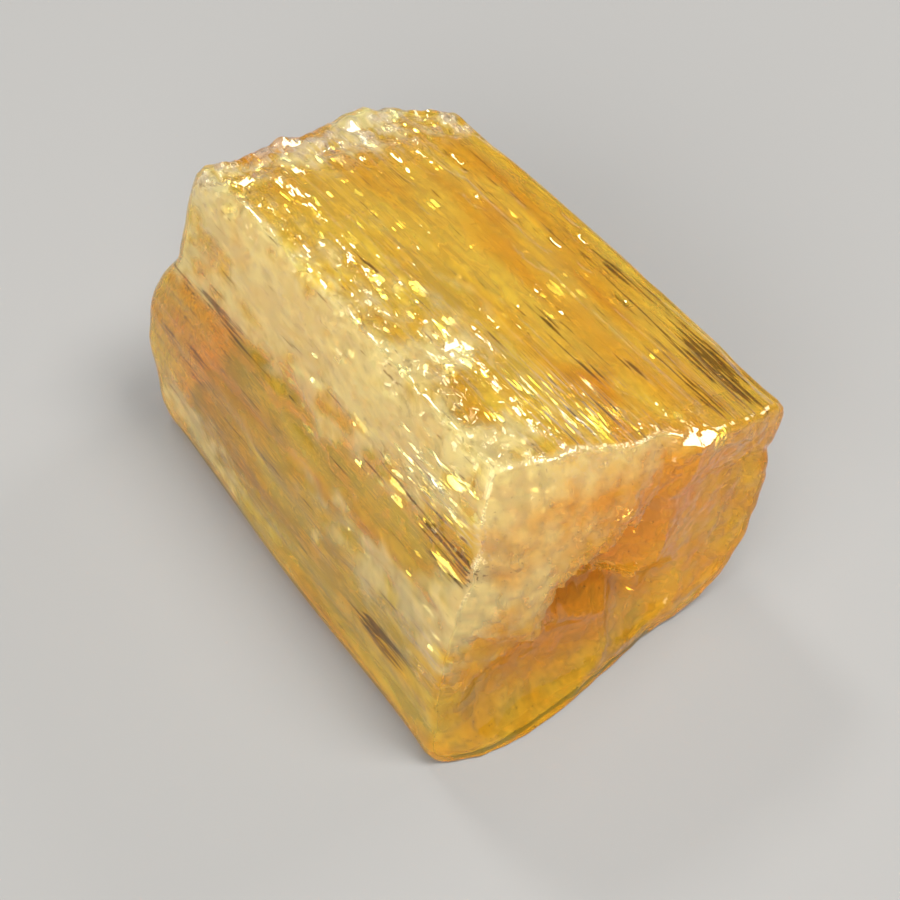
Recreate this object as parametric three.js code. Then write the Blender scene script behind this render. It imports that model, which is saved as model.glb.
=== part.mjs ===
// An imperial topaz crystal, lying on one of its prism faces.
//
// The crystal is a short rhombic prism, grown as one piece. Its prism faces are grooved lengthwise. One end
// is a fresh break with shell-shaped hollows, the other falls away in a worn, lumpy bevel.
//
// Millimetres. +Y runs along the prism from the fresh break to the worn end, +X across it and +Z up. The
// outlines below are drawn from the lower left edge at the fresh break, and the finished solid is moved so
// that its origin is the middle of its box, at the level it rests on.

import * as THREE from 'three';
import { mergeVertices } from 'three/addons/utils/BufferGeometryUtils.js';

// Where the middle of the crystal's box lies in the frame that the outlines are drawn in.
const CENTRE_X = 6.4;
const CENTRE_Y = 8.95;

// How many strips the solid has across, up and along.
const STRIPS_ACROSS = 30;
const STRIPS_UP = 22;
const STRIPS_ALONG = 34;

// The cross-section, as its four sides. Each row is the share along the side, then x and z.
// The underside runs from the lower left edge to the lower right one, and is flat for most of its width.
const UNDERSIDE = [
  [0, 0.4, 0],
  [0.72, 8.4, 0],
  [0.86, 9.9, 0.18],
  [1, 11.2, 1.05],
];
// The broad upper face runs down from the upper left ridge to the right-hand edge.
const UPPER_FACE = [
  [0, 2.42, 10.66],
  [0.25, 5.2, 10.2],
  [0.62, 9, 9.17],
  [1, 12.8, 7.96],
];
// The left side has two faces, which meet at a blunt ridge a little above its middle.
const LEFT_SIDE = [
  [0, 0.4, 0],
  [0.045, 0.08, 0.08],
  [0.09, -0.12, 0.42],
  [0.136, -0.12, 1],
  [0.3, 0.06, 3],
  [0.5, 0.62, 6],
  [0.545, 0.95, 6.7],
  [0.59, 1.15, 7.2],
  [0.9545, 2.12, 10.32],
  [1, 2.42, 10.66],
];
// The right side leans out to a step just under the right-hand edge.
const RIGHT_SIDE = [
  [0, 11.2, 1.05],
  [0.25, 12.15, 2.4],
  [0.55, 12.74, 4.9],
  [0.66, 12.6, 5.9],
  [0.92, 12.95, 7.45],
  [1, 12.8, 7.96],
];

// How far along the prism the fresh break lies, on each side of the section. Each row is the share along
// the side, then y. The break bellies out at the bottom and leans back towards the upper left ridge.
const BREAK_AT_UNDERSIDE = [
  [0, -0.35],
  [0.1, -0.85],
  [0.22, -1],
  [0.36, -0.85],
  [0.55, -0.4],
  [0.7, 0],
  [1, 0],
];
const BREAK_AT_UPPER_FACE = [
  [0, 0.75],
  [0.1, 0.6],
  [0.24, 0.35],
  [0.42, -0.12],
  [0.53, 0.1],
  [0.62, -0.55],
  [0.8, -0.35],
  [1, 0],
];
const BREAK_AT_LEFT_SIDE = [
  [0, -0.35],
  [0.09, -0.2],
  [0.3, 0],
  [0.55, 0],
  [0.75, 0.3],
  [1, 0.75],
];
const BREAK_AT_RIGHT_SIDE = [
  [0, 0],
  [0.6, 0.05],
  [0.68, 0.2],
  [0.75, 0.05],
  [1, 0],
];

// The same for the worn end.
const END_AT_UNDERSIDE = [
  [0, 16.3],
  [0.4, 17.6],
  [1, 17.2],
];
const END_AT_UPPER_FACE = [
  [0, 17.2],
  [0.12, 17.5],
  [0.3, 17.9],
  [0.5, 18.2],
  [0.57, 18.75],
  [0.8, 18.7],
  [0.93, 18.2],
  [1, 17.6],
];
const END_AT_LEFT_SIDE = [
  [0, 16.3],
  [0.05, 16.7],
  [0.12, 17.6],
  [0.3, 18.45],
  [0.44, 18.15],
  [0.52, 17.5],
  [0.57, 17.1],
  [0.75, 17.1],
  [1, 17.2],
];
const END_AT_RIGHT_SIDE = [
  [0, 17.2],
  [0.5, 17.9],
  [1, 17.6],
];

// Shell-shaped hollows in both ends: x and z of the middle, reach in x and in z, and depth.
const BREAK_HOLLOWS = [
  [5.9, 5.4, 2.5, 2.7, 1.1],
  [3.6, 2.2, 2.9, 2.1, 0.8],
  [10, 4.6, 2.4, 3.4, 0.35],
  [7.8, 2.4, 1.8, 1.7, 0.7],
];
const END_HOLLOWS = [
  [4, 7, 2.6, 2.4, 0.7],
  [9, 6.2, 3, 2.4, 0.6],
  [6, 3, 3.2, 2.2, 0.8],
  [10.3, 3.2, 1.9, 1.9, 0.5],
];
// The power of a hollow's bowl: 0.5 has upright sides and 1 is an open dish.
const HOLLOW_BOWL = 0.75;
// The hollows fade out over this share of the section's height and width, so the rim keeps its outline.
const RIM_SHARE_UP = 0.12;
const RIM_SHARE_ACROSS = 0.1;

// The frosted shelf, the upper left part of the break, stands proud of the hollows and ends in a scarp.
// Each row is a point of its lower edge, x and z.
const SHELF_RISE = 0.2;
const SHELF_EDGE = [
  [0.5, 5.8],
  [2.1, 5.2],
  [3.2, 4.3],
  [3.7, 5.7],
  [4.7, 6.6],
  [6, 6.5],
  [6.3, 7],
  [7.1, 6.8],
  [7.8, 7.8],
  [9, 8.8],
  [10, 9.6],
];
const SCARP_WIDTH = 0.6;

// A ledge crosses the deepest hollow, where a crack inside reached the surface. The stone lies deepest just
// under its line, x and z, and comes back to the hollow below it.
const LEDGE_LINE = [
  [3.8, 5.4],
  [4.85, 4.8],
  [5.8, 4.4],
  [6.75, 3.9],
  [7.9, 3.1],
];
const LEDGE_DEPTH = 0.45;
const LEDGE_STEP = 0.4;
const LEDGE_REACH = 1.6;

// Towards the worn end the upper face falls away in a bevel, steepest above the left ridge.
const BEVEL_START = 15.7;
const BEVEL_WAVE = 0.25;
const BEVEL_ANGLE = THREE.MathUtils.degToRad(17);
const BEVEL_SHARE = [
  [0, 1],
  [0.4, 0.85],
  [0.5, 0.55],
  [0.85, 0.35],
  [1, 0],
];

// The grooves along the prism faces: depth and spacing of the broad ones and of the narrow ones.
const BROAD_GROOVE = 0.13;
const BROAD_SPACING = 2.3;
const NARROW_GROOVE = 0.09;
const NARROW_SPACING = 1.1;

// The prism isn't quite straight: the lower left edge tapers in at the worn end and flares at the break,
// and the right-hand edge bows out.
const LOWER_LEFT_TAPER = 0.35;
const LOWER_LEFT_BOW = 0.1;
const LOWER_LEFT_FLARE = 0.22;
const FLARE_LENGTH = 1.5;
const RIGHT_EDGE_BOW = 0.16;

const mix = THREE.MathUtils.lerp;
const ramp = (from, to, value) => THREE.MathUtils.smoothstep(value, from, to);

// The value of column `column` at a share along a list of rows that start with their share.
function along(rows, share, column = 1) {
  const last = rows.findIndex((row) => row[0] >= share);
  if (last <= 0) {
    return rows[last < 0 ? rows.length - 1 : 0][column];
  }
  const [before, after] = [rows[last - 1], rows[last]];
  return mix(before[column], after[column], (share - before[0]) / (after[0] - before[0]));
}

// Fills the inside of four sides, bottom, top, left and right, from their values in one column.
function fill(sides, across, up, column = 1) {
  const [bottom, top, left, right] = sides.map((side, at) => along(side, at < 2 ? across : up, column));
  const corners = sides.slice(0, 2).map((side) => {
    return mix(along(side, 0, column), along(side, 1, column), across);
  });
  return mix(bottom, top, up) + mix(left, right, across) - mix(corners[0], corners[1], up);
}

// How deep the deepest of some hollows is at a point of the section.
function hollowDepth(hollows, x, z) {
  const depths = hollows.map(([middleX, middleZ, reachX, reachZ, depth]) => {
    const left = 1 - ((x - middleX) / reachX) ** 2 - ((z - middleZ) / reachZ) ** 2;
    return depth * Math.max(left, 0) ** HOLLOW_BOWL;
  });
  return Math.max(...depths);
}

// 0 at the rim of the section and 1 inside it.
function insideRim(across, up) {
  const fromSide = Math.min(across, 1 - across) / RIM_SHARE_ACROSS;
  const fromTop = Math.min(up, 1 - up) / RIM_SHARE_UP;
  return Math.min(fromSide, fromTop, 1);
}

// How much of the frosted shelf is at a point of the section: 1 on it and 0 off it.
function onShelf(x, z) {
  return ramp(-SCARP_WIDTH, 0, z - along(SHELF_EDGE, x));
}

// How far under the ledge a point of the section is: 1 just under it, 0 above it and far below it.
function underLedge(x, z) {
  const [first, last] = [LEDGE_LINE[0][0], LEDGE_LINE[LEDGE_LINE.length - 1][0]];
  const within = ramp(first - 0.2, first + 0.1, x) * (1 - ramp(last - 0.8, last + 0.2, x));
  const below = along(LEDGE_LINE, x) - z;
  return within * ramp(0, LEDGE_STEP, below) * (1 - ramp(LEDGE_STEP, LEDGE_REACH, below));
}

// The depth of the grooves at a place across a face and along the prism. They wander and fade.
function grooveDepth(place, y) {
  const broad = Math.sin((place / BROAD_SPACING) * 2 * Math.PI + 0.9 * Math.sin(y * 0.21));
  const narrow = Math.sin((place / NARROW_SPACING) * 2 * Math.PI + 1.4 * Math.sin(y * 0.33 + place));
  return (BROAD_GROOVE * (1 - broad) + NARROW_GROOVE * (1 - narrow) * (0.6 + 0.4 * Math.sin(y * 0.5))) / 2;
}

// The point of the crystal at shares across, up and along it.
function crystalPoint(across, up, lengthwise) {
  const section = [UNDERSIDE, UPPER_FACE, LEFT_SIDE, RIGHT_SIDE];
  let x = fill(section, across, up, 1);
  let z = fill(section, across, up, 2);
  const rim = insideRim(across, up);
  const breakSides = [BREAK_AT_UNDERSIDE, BREAK_AT_UPPER_FACE, BREAK_AT_LEFT_SIDE, BREAK_AT_RIGHT_SIDE];
  const endSides = [END_AT_UNDERSIDE, END_AT_UPPER_FACE, END_AT_LEFT_SIDE, END_AT_RIGHT_SIDE];
  const shelf = onShelf(x, z);
  const hollows = hollowDepth(BREAK_HOLLOWS, x, z) + LEDGE_DEPTH * underLedge(x, z);
  const breakRelief = hollows * (1 - shelf) - SHELF_RISE * shelf;
  const breakY = fill(breakSides, across, up) + breakRelief * rim;
  const endY = fill(endSides, across, up) - hollowDepth(END_HOLLOWS, x, z) * rim;
  const y = mix(breakY, endY, lengthwise);

  const bevelFrom = BEVEL_START + BEVEL_WAVE * Math.sin(x * 1.3);
  const bevel = Math.tan(BEVEL_ANGLE) * Math.max(y - bevelFrom, 0) * along(BEVEL_SHARE, across);
  z -= bevel * ramp(0.55, 1, up);
  z -= grooveDepth(x, y) * up ** 3;
  const leftGroove = grooveDepth(z + 0.4, y + 5) * ramp(0.1, 0.2, up) * (1 - across) ** 3;
  const rightGroove = grooveDepth(z + 1.1, y + 9) * ramp(0, 0.2, up) * across ** 3;
  x += leftGroove - rightGroove;

  const lowerLeft = (1 - across) * (1 - up);
  x += LOWER_LEFT_TAPER * ramp(0.35, 1, lengthwise) * lowerLeft;
  x -= LOWER_LEFT_BOW * Math.sin(Math.PI * lengthwise) * lowerLeft;
  x -= LOWER_LEFT_FLARE * Math.exp(-Math.max(y, 0) / FLARE_LENGTH) * lowerLeft;
  x += RIGHT_EDGE_BOW * Math.sin(Math.PI * Math.min(lengthwise * 1.05, 1)) * across * up;
  return new THREE.Vector3(x - CENTRE_X, y - CENTRE_Y, z);
}

// The whole crystal: a box of strips whose points are moved to the crystal's surface.
function crystalGeometry() {
  const box = new THREE.BoxGeometry(1, 1, 1, STRIPS_ACROSS, STRIPS_ALONG, STRIPS_UP);
  box.deleteAttribute('normal');
  box.deleteAttribute('uv');
  const geometry = mergeVertices(box);
  const points = geometry.attributes.position;
  for (let index = 0; index < points.count; index += 1) {
    const share = new THREE.Vector3().fromBufferAttribute(points, index).addScalar(0.5);
    const point = crystalPoint(share.x, share.z, share.y);
    points.setXYZ(index, point.x, point.y, point.z);
  }
  geometry.computeVertexNormals();
  return geometry;
}

const topaz = new THREE.MeshStandardMaterial({ color: 0xd99a35, roughness: 0.25, metalness: 0 });
topaz.flatShading = true;

const crystal = new THREE.Mesh(crystalGeometry(), topaz);
crystal.name = 'topaz_crystal';

const group = new THREE.Group();
group.add(crystal);

export default group;
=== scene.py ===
# %% [markdown]
# # An imperial topaz crystal
#
# The crystal is one piece of clear, golden-orange topaz, about 20 mm long. It grew as a rhombic prism, so its
# long faces are grooved lengthwise. One end is a fresh break, with a frosted shelf and shell-shaped hollows,
# and the other end is worn and lumpy. Inside, the stone is crossed by thin air-filled cracks and milky veils.
#
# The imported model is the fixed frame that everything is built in: metres, +Y along the prism from the fresh
# break to the worn end, +X across it, +Z up, and the origin under the middle of the crystal.

import math
import random

import bmesh
import bpy
import numpy as np
from mathutils import Matrix, Vector, noise
from mathutils.bvhtree import BVHTree


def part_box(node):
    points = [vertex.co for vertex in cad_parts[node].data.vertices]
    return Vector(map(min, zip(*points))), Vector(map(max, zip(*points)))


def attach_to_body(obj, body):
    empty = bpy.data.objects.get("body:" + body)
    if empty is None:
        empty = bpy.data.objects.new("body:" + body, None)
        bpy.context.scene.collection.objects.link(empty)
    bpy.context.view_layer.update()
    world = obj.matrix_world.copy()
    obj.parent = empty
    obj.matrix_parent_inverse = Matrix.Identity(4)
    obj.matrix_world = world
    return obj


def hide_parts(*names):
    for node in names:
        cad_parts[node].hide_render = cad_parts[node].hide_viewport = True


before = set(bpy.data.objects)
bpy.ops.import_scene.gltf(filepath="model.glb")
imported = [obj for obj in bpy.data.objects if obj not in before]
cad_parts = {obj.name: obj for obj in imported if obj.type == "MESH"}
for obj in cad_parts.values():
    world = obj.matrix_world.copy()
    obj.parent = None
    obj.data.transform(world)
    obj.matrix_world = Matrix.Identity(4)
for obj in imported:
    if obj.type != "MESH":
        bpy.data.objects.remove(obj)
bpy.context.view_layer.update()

MM = 0.001
node_low, node_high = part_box("topaz_crystal")
print("CAD box, mm:", [round(value / MM, 2) for value in (*node_low, *node_high)])

# %% [markdown]
# ## The outline of the prism
#
# A crystal could be carved from a block by cutting planes, but its edges aren't quite straight and its ends
# are broken, so cuts alone look too perfect. Here a box of fine strips is bent to the crystal's surface by a
# formula instead: four sides make the cross-section, and four more say where each end lies along the prism.
# Those outlines are the same as in the solid that the frame holds, so the two agree from every side.

# %% Outlines, in millimetres from the lower left edge at the fresh break
CENTRE_X = 6.4
CENTRE_Y = 8.95

# Each row is the share along the side, then x and z.
SECTION = {
    "underside": [(0, 0.4, 0), (0.72, 8.4, 0), (0.86, 9.9, 0.18), (1, 11.2, 1.05)],
    "upper_face": [(0, 2.42, 10.66), (0.25, 5.2, 10.2), (0.62, 9, 9.17), (1, 12.8, 7.96)],
    "left_side": [
        (0, 0.4, 0), (0.045, 0.08, 0.08), (0.09, -0.12, 0.42), (0.136, -0.12, 1), (0.3, 0.06, 3),
        (0.5, 0.62, 6), (0.545, 0.95, 6.7), (0.59, 1.15, 7.2), (0.9545, 2.12, 10.32), (1, 2.42, 10.66),
    ],
    "right_side": [
        (0, 11.2, 1.05), (0.25, 12.15, 2.4), (0.55, 12.74, 4.9), (0.66, 12.6, 5.9),
        (0.92, 12.95, 7.45), (1, 12.8, 7.96),
    ],
}
# Each row is the share along the side, then y.
FRESH_BREAK = {
    "underside": [(0, -0.35), (0.1, -0.85), (0.22, -1), (0.36, -0.85), (0.55, -0.4), (0.7, 0), (1, 0)],
    "upper_face": [
        (0, 0.75), (0.1, 0.6), (0.24, 0.35), (0.42, -0.12), (0.53, 0.1), (0.62, -0.55), (0.8, -0.35), (1, 0),
    ],
    "left_side": [(0, -0.35), (0.09, -0.2), (0.3, 0), (0.55, 0), (0.75, 0.3), (1, 0.75)],
    "right_side": [(0, 0), (0.6, 0.05), (0.68, 0.2), (0.75, 0.05), (1, 0)],
}
WORN_END = {
    "underside": [(0, 16.3), (0.4, 17.6), (1, 17.2)],
    "upper_face": [
        (0, 17.2), (0.12, 17.5), (0.3, 17.9), (0.5, 18.2), (0.57, 18.75), (0.8, 18.7), (0.93, 18.2), (1, 17.6),
    ],
    "left_side": [
        (0, 16.3), (0.05, 16.7), (0.12, 17.6), (0.3, 18.45), (0.44, 18.15), (0.52, 17.5), (0.57, 17.1),
        (0.75, 17.1), (1, 17.2),
    ],
    "right_side": [(0, 17.2), (0.5, 17.9), (1, 17.6)],
}


def along(rows, share, column=1):
    """The value of one column at a share along a side."""
    table = np.array(rows, float)
    return np.interp(share, table[:, 0], table[:, column])


def fill(sides, across, up, column=1):
    """Fills the inside of four sides from the values on them."""
    bottom = along(sides["underside"], across, column)
    top = along(sides["upper_face"], across, column)
    left = along(sides["left_side"], up, column)
    right = along(sides["right_side"], up, column)
    bottom_ends = [along(sides["underside"], end, column) for end in (0, 1)]
    top_ends = [along(sides["upper_face"], end, column) for end in (0, 1)]
    low = bottom_ends[0] * (1 - across) + bottom_ends[1] * across
    high = top_ends[0] * (1 - across) + top_ends[1] * across
    return bottom * (1 - up) + top * up + left * (1 - across) + right * across - low * (1 - up) - high * up


def ramp(start, stop, value):
    """0 before start, 1 after stop and a smooth step between."""
    share = np.clip((value - start) / (stop - start), 0, 1)
    return share * share * (3 - 2 * share)


print("section outline points:", sum(len(rows) for rows in SECTION.values()))

# %% [markdown]
# ## The box of strips
#
# A box is the right start, because a prism has the same six sides. `create_cube` makes it and three calls of
# `subdivide_edges` cut it into strips, one call for each direction, so that the strips can be narrow across
# the grooves and longer along them, where little changes. Every vertex then has three shares from 0 to 1:
# across, up and along the prism.

# %% A box of strips
CUTS = {"across": 139, "along": 119, "up": 99}


def box_of_strips(cuts_across, cuts_along, cuts_up):
    """A cut box, and for each vertex its shares across, along and up the prism."""
    made = bmesh.new()
    bmesh.ops.create_cube(made, size=1.0)
    for axis, cuts in enumerate((cuts_across, cuts_along, cuts_up)):
        edges = []
        for edge in made.edges:
            span = edge.verts[0].co - edge.verts[1].co
            if abs(span[axis]) > 0.9:
                edges.append(edge)
        bmesh.ops.subdivide_edges(made, edges=edges, cuts=cuts, use_grid_fill=True)
    made.verts.ensure_lookup_table()
    shares = np.array([vertex.co[:] for vertex in made.verts]) + 0.5
    return made, *shares.T


crystal_mesh, across, lengthwise, up = box_of_strips(CUTS["across"], CUTS["along"], CUTS["up"])
print("vertices:", len(crystal_mesh.verts), "faces:", len(crystal_mesh.faces))

# %% [markdown]
# ## Grooves, terraces and chips
#
# Topaz prism faces grow in terraces: flat strips with sharp steps between them that run along the prism, wander
# a little and taper out. A few sine waves give the broad grooves. Noise that is stretched along the prism and
# cut into levels gives the terraces, because the edge of a level is sharp where a plain noise is soft. Short,
# long-bellied dents are the chips that any found crystal has.

# %% Relief of the prism faces
BROAD_GROOVE = 0.05
BROAD_SPACING = 2.3
NARROW_GROOVE = 0.05
NARROW_SPACING = 1.1
TERRACE_HEIGHT = 0.13
TERRACE_LEVELS = 8
FINE_GROOVE = 0.022
FINEST_GROOVE = 0.010
CHIP_REACH = (0.10, 0.38)
CHIP_STRETCH = (1.5, 6)
CHIP_DEPTH = (0.03, 0.11)
CHIP_SPAN_ALONG = (0.5, 17.5)


def groove_depth(place, y):
    """The grooves of the frame's solid, shallower here, because the terraces add to them."""
    broad = np.sin(place / BROAD_SPACING * 2 * np.pi + 0.9 * np.sin(y * 0.21))
    narrow = np.sin(place / NARROW_SPACING * 2 * np.pi + 1.4 * np.sin(y * 0.33 + place))
    return (BROAD_GROOVE * (1 - broad) + NARROW_GROOVE * (1 - narrow) * (0.6 + 0.4 * np.sin(y * 0.5))) / 2


def noise_at(first, second, third=0.0):
    """Blender's noise, from -1 to 1, at arrays of places."""
    third = np.broadcast_to(third, first.shape)
    return np.array([noise.noise(Vector(place)) for place in zip(first, second, third)])


def terraces(place, y, seed):
    """Flat strips along y with sharp steps between them, from 0 to 1."""
    level = 3.2 * noise_at(place * 0.75, y * 0.045, seed) + 0.9 * noise_at(place * 2.6, y * 0.11, seed + 5)
    step = np.floor(level)
    riser = ramp(0.35, 0.65, level - step)
    return (step + riser + TERRACE_LEVELS / 2) / TERRACE_LEVELS


def chips(place, y, seed, count, span):
    """Small dents, long along y, scattered over a face."""
    draw = random.Random(seed)
    depth = np.zeros_like(place)
    for _ in range(count):
        middle = draw.uniform(*span)
        middle_y = draw.uniform(*CHIP_SPAN_ALONG)
        reach = draw.uniform(*CHIP_REACH)
        reach_y = reach * draw.uniform(*CHIP_STRETCH)
        left = 1 - ((place - middle) / reach) ** 2 - ((y - middle_y) / reach_y) ** 2
        depth = np.maximum(depth, draw.uniform(*CHIP_DEPTH) * np.sqrt(np.clip(left, 0, 1)))
    return depth


def face_relief(place, y, seed, count, span):
    """How far a prism face lies inside its outline."""
    fine = FINE_GROOVE * noise_at(place * 5, y * 0.35, seed + 11)
    fine = fine + FINEST_GROOVE * noise_at(place * 11, y * 0.9, seed + 17)
    steps = TERRACE_HEIGHT * terraces(place, y, seed)
    return groove_depth(place, y) + steps + fine + chips(place, y, seed, count, span)


# %% [markdown]
# ## Broken ends
#
# Topaz breaks like glass across its hollows, with shell-shaped bowls that meet in sharp rims and carry faint
# ripples, and it cleaves flat between them. The deepest of several bowls at each point gives those rims. The
# frosted shelf is a fine-grained part that stands a little proud, with a ragged scarp around it, and a ledge
# crosses the deepest bowl where a crack inside reached the surface.

# %% Relief of the two ends
HOLLOW_BOWL = 0.75
# Each row is the middle x and z, the reach in x and z, and the depth.
BREAK_HOLLOWS = [
    (5.9, 5.4, 2.5, 2.7, 1.1), (3.6, 2.2, 2.9, 2.1, 0.8), (10, 4.6, 2.4, 3.4, 0.35), (7.8, 2.4, 1.8, 1.7, 0.7),
]
END_HOLLOWS = [
    (4, 7, 2.6, 2.4, 0.7), (9, 6.2, 3, 2.4, 0.6), (6, 3, 3.2, 2.2, 0.8), (10.3, 3.2, 1.9, 1.9, 0.5),
]
RIM_SHARE_UP = 0.12
RIM_SHARE_ACROSS = 0.1
SHELF_RISE = 0.2
# The lower edge of the frosted shelf, x and z.
SHELF_EDGE = [
    (0.5, 5.8), (2.1, 5.2), (3.2, 4.3), (3.7, 5.7), (4.7, 6.6), (6.0, 6.5), (6.3, 7.0), (7.1, 6.8), (7.8, 7.8),
    (9, 8.8), (10, 9.6),
]
SCARP_WIDTH = 0.45
SCARP_RAG = 0.35
LEDGE_LINE = [(3.8, 5.4), (4.85, 4.8), (5.8, 4.4), (6.75, 3.9), (7.9, 3.1)]
LEDGE_DEPTH = 0.45
LEDGE_WAVE = 0.10
LEDGE_STEP = 0.12
LEDGE_FADE = (0.4, 1.6)
LIP_RISE = 0.10
LIP_ABOVE = (0.08, 0.22)
LIP_BELOW = (0.02, 0.1)
RIM_CRUMB = 0.10
BREAK_GRAIN = 0.14
BREAK_CRUMB = 0.05
END_LUMP = 0.25
END_RIM_LUMP = 0.15


def hollow_depth(hollows, x, z):
    """The depth of the deepest bowl at each place of the section."""
    depth = np.zeros_like(x)
    for middle_x, middle_z, reach_x, reach_z, deepest in hollows:
        left = 1 - ((x - middle_x) / reach_x) ** 2 - ((z - middle_z) / reach_z) ** 2
        depth = np.maximum(depth, deepest * np.clip(left, 0, 1) ** HOLLOW_BOWL)
    return depth


def on_shelf(x, z):
    """1 on the frosted shelf and 0 off it, with a ragged scarp between."""
    rag = noise_at(x * 0.9, z * 0.9, 31.0) + 0.7 * noise_at(x * 2.4, z * 2.4, 33.0)
    rag = rag + 0.5 * noise_at(x * 5, z * 5, 35.0)
    return ramp(-SCARP_WIDTH, 0, z + SCARP_RAG * rag - along(SHELF_EDGE, x))


def ledge_parts(x, z):
    """How far each place lies under the ledge, from 1 to 0, and whether it is on the ledge's lip."""
    line = along(LEDGE_LINE, x) + LEDGE_WAVE * noise_at(x * 2.2, z * 0.3, 43.0)
    within = ramp(LEDGE_LINE[0][0] - 0.2, LEDGE_LINE[0][0] + 0.1, x)
    within = within * (1 - ramp(LEDGE_LINE[-1][0] - 0.8, LEDGE_LINE[-1][0] + 0.2, x))
    under = within * ramp(0, LEDGE_STEP, line - z) * (1 - ramp(*LEDGE_FADE, line - z))
    lip = within * ramp(-LIP_ABOVE[1], -LIP_ABOVE[0], line - z) * (1 - ramp(*LIP_BELOW, line - z))
    return under, lip


def inside_rim(across, up):
    """0 at the rim of the section and 1 inside it."""
    from_side = np.minimum(across, 1 - across) / RIM_SHARE_ACROSS
    from_top = np.minimum(up, 1 - up) / RIM_SHARE_UP
    return np.minimum(np.minimum(from_side, from_top), 1)


# %% [markdown]
# ## Bend the box to the crystal
#
# The formula gives each vertex its place: the outlines first, then the bevel at the worn end, the relief of
# each face and the lumps of wear. The relief goes straight in along z or across, which a boolean or a modifier
# couldn't do face by face. The same formula is used again further down, to place what lies inside the stone.

# %% Bend the box
BEVEL_START = 15.7
BEVEL_WAVE = 0.25
BEVEL_ANGLE = math.radians(17)
# Each row is the share across, then how much of the bevel is cut there.
BEVEL_SHARE = [(0, 1), (0.4, 0.85), (0.5, 0.55), (0.85, 0.35), (1, 0)]
WEAR_START = (15.2, 16.6)
BROAD_LUMP = 0.30
SMALL_LUMP = 0.16
LEAST_WEAR = 0.1
UPPER_FACE_LIFT = 0.08
LOWER_LEFT_TAPER = 0.35
LOWER_LEFT_BOW = 0.1
LOWER_LEFT_FLARE = 0.22
FLARE_LENGTH = 1.5
RIGHT_EDGE_BOW = 0.16
RIDGE_RAG = 0.16


def ends(x, z, across, up):
    """Where the two ends lie along the prism, with their relief, and the zones of the fresh break."""
    rim = inside_rim(across, up)
    shelf = on_shelf(x, z)
    under, lip = ledge_parts(x, z)
    grain = 0.5 * noise_at(x * 2.1, z * 2.1, 3.0) + (0.05 + 0.25 * shelf) * noise_at(x * 5, z * 5, 7.0)
    crumb = noise_at(x * 4.3, z * 4.3, 61.0) + 0.7 * noise_at(x * 9, z * 9, 63.0)
    bowls = hollow_depth(BREAK_HOLLOWS, x, z) + LEDGE_DEPTH * under - LIP_RISE * lip
    relief = bowls * (1 - shelf) - SHELF_RISE * shelf + BREAK_GRAIN * grain + BREAK_CRUMB * crumb * shelf
    break_y = fill(FRESH_BREAK, across, up) + relief * rim + RIM_CRUMB * grain * (1 - rim)
    lump = 0.7 * noise_at(x * 0.9, z * 0.9, 13.0) + 0.3 * noise_at(x * 2.1, z * 2.1, 15.0)
    end_relief = hollow_depth(END_HOLLOWS, x, z) + END_LUMP * lump
    end_y = fill(WORN_END, across, up) - end_relief * rim - END_RIM_LUMP * lump * (1 - rim)
    return break_y, end_y, shelf, lip


def bend(across, lengthwise, up):
    """The place of each vertex, in millimetres of the frame, and the zones that it lies in."""
    x = fill(SECTION, across, up, 1)
    z = fill(SECTION, across, up, 2)
    break_y, end_y, shelf, lip = ends(x, z, across, up)
    y = break_y * (1 - lengthwise) + end_y * lengthwise

    bevel_from = BEVEL_START + BEVEL_WAVE * np.sin(x * 1.3)
    bevel = math.tan(BEVEL_ANGLE) * np.clip(y - bevel_from, 0, None) * along(BEVEL_SHARE, across)
    z = z - bevel * ramp(0.55, 1, up)
    z = z - up**3 * (face_relief(x, y, 1, 70, (2, 13)) - UPPER_FACE_LIFT)
    left_relief = face_relief(z + 0.4, y + 5, 21, 60, (0, 11)) * ramp(0.1, 0.2, up) * (1 - across) ** 3
    right_relief = face_relief(z + 1.1, y + 9, 41, 50, (0, 9)) * ramp(0, 0.2, up) * across**3
    x = x + left_relief - right_relief
    lumps = BROAD_LUMP * noise_at(x * 0.9, y * 0.9, 2.0) + SMALL_LUMP * noise_at(x * 2.3, y * 2.3, 5.0)
    worn = ramp(*WEAR_START, y)
    z = z + worn * up**4 * (lumps - LEAST_WEAR)

    ridge = ramp(0.80, 0.97, up) * (1 - ramp(0.05, 0.25, across))
    rag = noise_at(y * 1.1, x * 1.5, 51.0) + 0.7 * noise_at(y * 2.6, x * 3.0, 53.0)
    x = x + RIDGE_RAG * ridge * (0.4 + rag)
    z = z - RIDGE_RAG * ridge * (0.3 + np.abs(rag))

    lower_left = (1 - across) * (1 - up)
    x = x + LOWER_LEFT_TAPER * ramp(0.35, 1, lengthwise) * lower_left
    x = x - LOWER_LEFT_BOW * np.sin(np.pi * lengthwise) * lower_left
    x = x - LOWER_LEFT_FLARE * np.exp(-np.clip(y, 0, None) / FLARE_LENGTH) * lower_left
    x = x + RIGHT_EDGE_BOW * np.sin(np.pi * np.clip(lengthwise * 1.05, 0, 1)) * across * up
    above_scarp = z + 0.4 * noise_at(x * 1.3, z * 1.3, 91.0) - along(SHELF_EDGE, x)
    zones = {
        "broken": ramp(0.02, 0.0, lengthwise), "shelf": shelf, "lip": lip, "fade": ramp(-0.3, 1.8, above_scarp),
        "worn_top": worn * ramp(0.8, 1, up), "worn_face": ramp(0.98, 1.0, lengthwise),
    }
    return np.stack([x - CENTRE_X, y - CENTRE_Y, z], axis=1), zones


def put(made, places):
    """Moves each vertex to its place."""
    for vertex, place in zip(made.verts, places * MM):
        vertex.co = place


places, zones = bend(across, lengthwise, up)
put(crystal_mesh, places)
print("bent box, mm:", places.min(0).round(2), places.max(0).round(2))

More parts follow.
